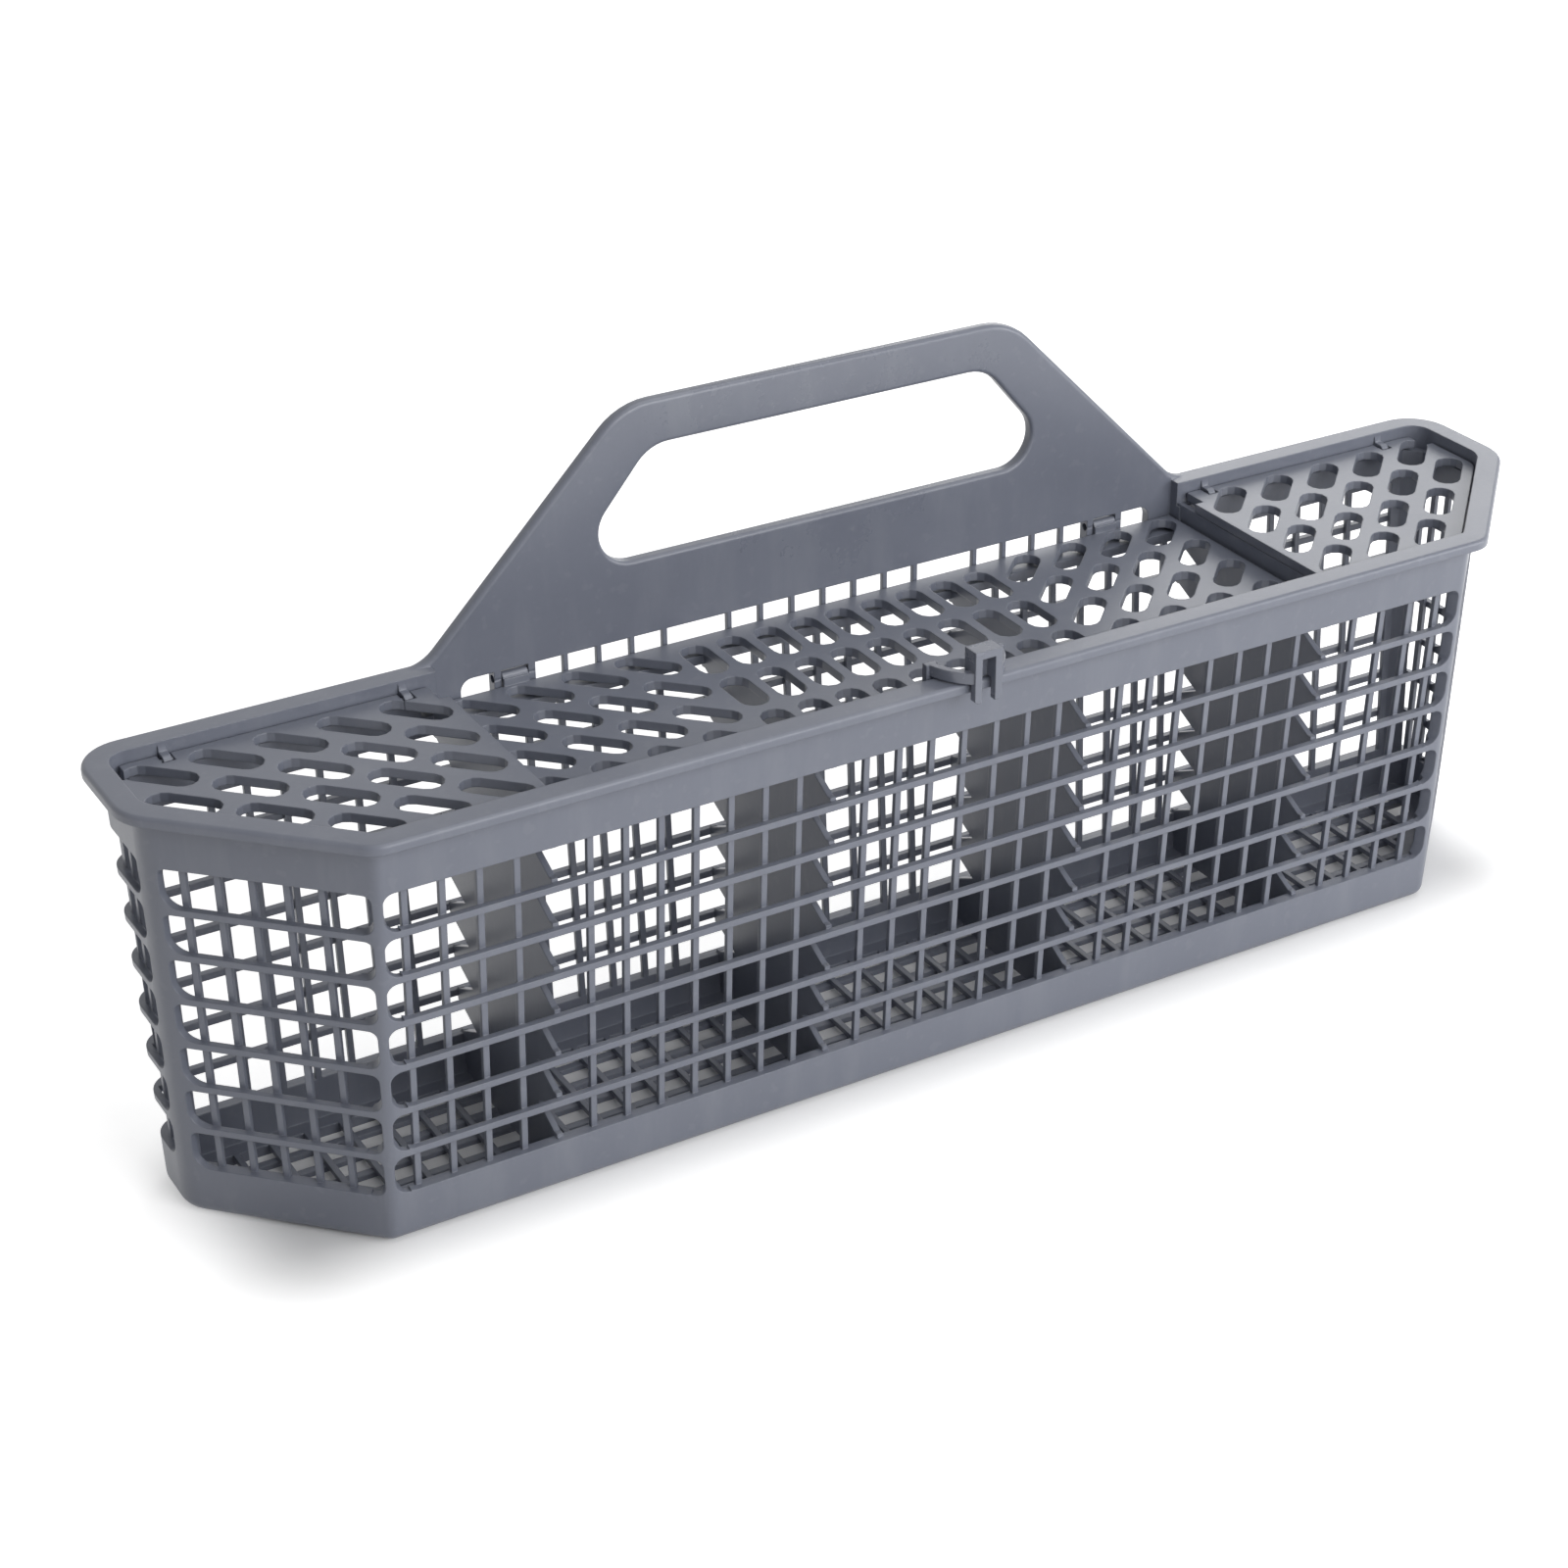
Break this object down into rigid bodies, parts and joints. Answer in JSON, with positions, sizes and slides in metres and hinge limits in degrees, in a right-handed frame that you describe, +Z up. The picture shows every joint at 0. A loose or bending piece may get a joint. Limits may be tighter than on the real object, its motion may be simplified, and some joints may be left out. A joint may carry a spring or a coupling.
{
  "type": "dishwasher cutlery basket",
  "caption": "Long lattice-walled cutlery basket with cut front corners, a grip handle at the back and slotted hinged lids over its compartments.",
  "frame": {"origin": "on the floor plane under the middle of the whole object", "axes": "+X along the length, +Z up, -Y towards the front with the cut corners"},
  "size_m": [0.5, 0.1006, 0.212],
  "materials": {
    "basket_plastic": "satin moulded",
    "lid_plastic": "satin moulded"
  },
  "bodies": {
    "basket": {"basket": "basket_plastic"},
    "left_lid": {"left_lid": "lid_plastic"},
    "centre_lid": {"centre_lid": "lid_plastic"},
    "right_lid": {"right_lid": "lid_plastic"}
  },
  "joints": [
    {"name": "left_lid_hinge", "type": "hinge", "parent": "basket", "child": "left_lid", "pos_m": [-0.18675, 0.03929, 0.1365], "axis": [-1, 0, 0], "range_deg": [0, 95]},
    {"name": "centre_lid_hinge", "type": "hinge", "parent": "basket", "child": "centre_lid", "pos_m": [0, 0.04705, 0.132], "axis": [-1, 0, 0], "range_deg": [0, 90]},
    {"name": "right_lid_hinge", "type": "hinge", "parent": "basket", "child": "right_lid", "pos_m": [0.18675, 0.03929, 0.1365], "axis": [-1, 0, 0], "range_deg": [0, 95]}
  ]
}
